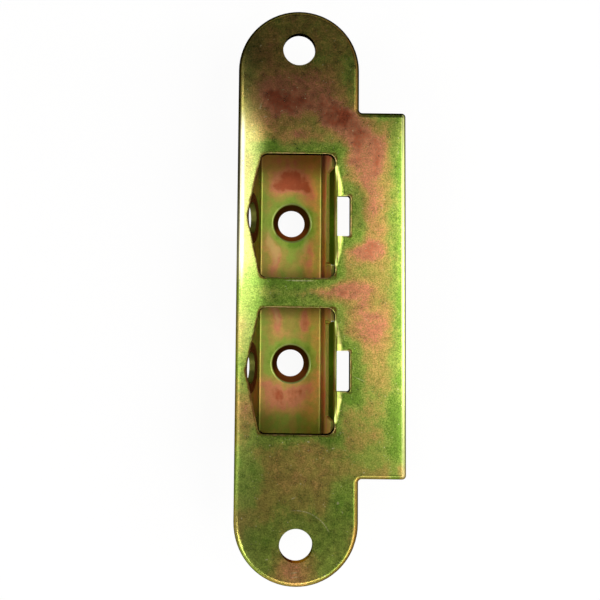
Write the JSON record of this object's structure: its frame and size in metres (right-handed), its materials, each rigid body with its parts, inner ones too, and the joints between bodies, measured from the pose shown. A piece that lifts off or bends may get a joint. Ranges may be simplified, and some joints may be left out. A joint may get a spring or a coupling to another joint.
{
  "type": "door strike plate",
  "caption": "Full-lip door strike plate with round ends, two latch windows with adjusting tabs, and a folded screw-down box behind them.",
  "frame": {"origin": "midway between the two end screw holes, on the back of the face plate", "axes": "+Z out of the front of the plate, +Y along the plate, +X across it towards the lip"},
  "size_m": [0.0413, 0.1396, 0.021],
  "materials": {
    "plated_steel": "satin yellow zinc plating",
    "plated_box": "satin yellow zinc plating"
  },
  "bodies": {
    "root": {"face_plate": "plated_steel", "latch_box": "plated_box"}
  },
  "joints": []
}
